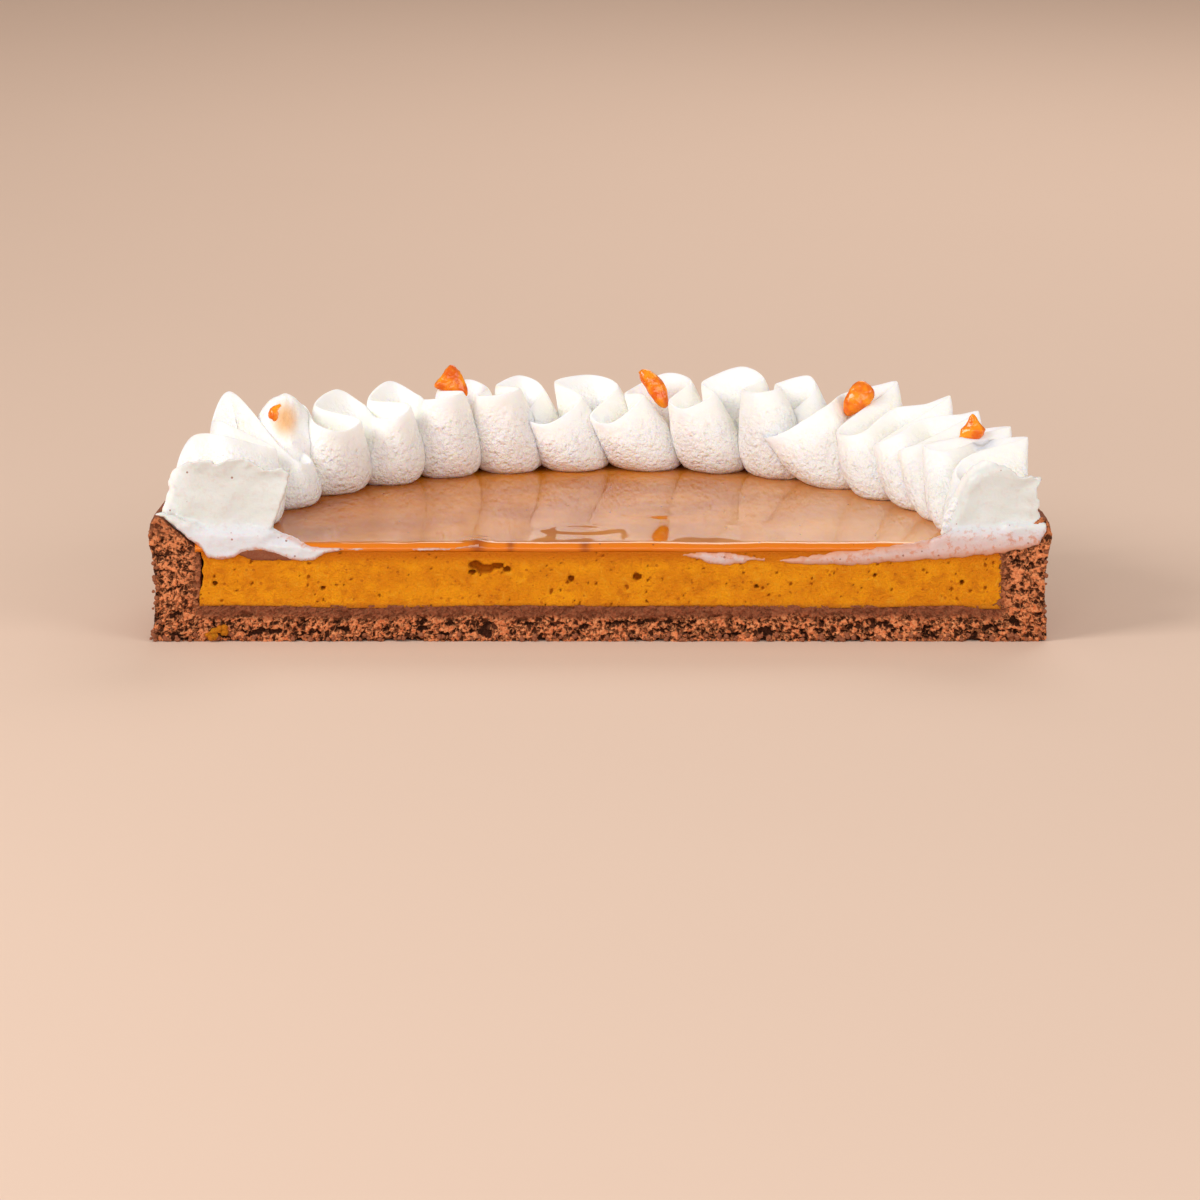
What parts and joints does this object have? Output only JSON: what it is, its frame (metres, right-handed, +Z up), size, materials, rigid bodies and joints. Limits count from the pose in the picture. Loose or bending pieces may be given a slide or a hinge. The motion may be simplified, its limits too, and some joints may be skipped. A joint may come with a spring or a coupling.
{
  "type": "pumpkin tart half",
  "caption": "Half of a glazed pumpkin tart, cut across, with a cocoa crust, a piped whipped cream border and candied brittle.",
  "frame": {"origin": "on the surface it stands on, under the middle of the half tart's box", "axes": "+X along the straight cut, +Y from the cut face towards the round back, +Z up; the cut face looks along -Y"},
  "size_m": [0.2016, 0.1009, 0.0473],
  "materials": {
    "cocoa_crust": "baked cocoa shortcrust, porous and crumbly where it is cut",
    "pumpkin_custard": "smooth baked pumpkin custard with small pores",
    "amber_glaze": "clear amber glaze, wet gloss, with fine spice specks",
    "whipped_cream": "whipped cream, soft satin, finely pitted",
    "candied_brittle": "clear orange candy with small bubbles, glossy"
  },
  "bodies": {
    "root": {"crust": "cocoa_crust", "filling": "pumpkin_custard", "glaze": "amber_glaze", "whipped_cream": "whipped_cream", "candied_piece_1": "candied_brittle", "candied_piece_2": "candied_brittle", "candied_piece_3": "candied_brittle", "candied_piece_4": "candied_brittle", "candied_piece_5": "candied_brittle"}
  },
  "joints": []
}
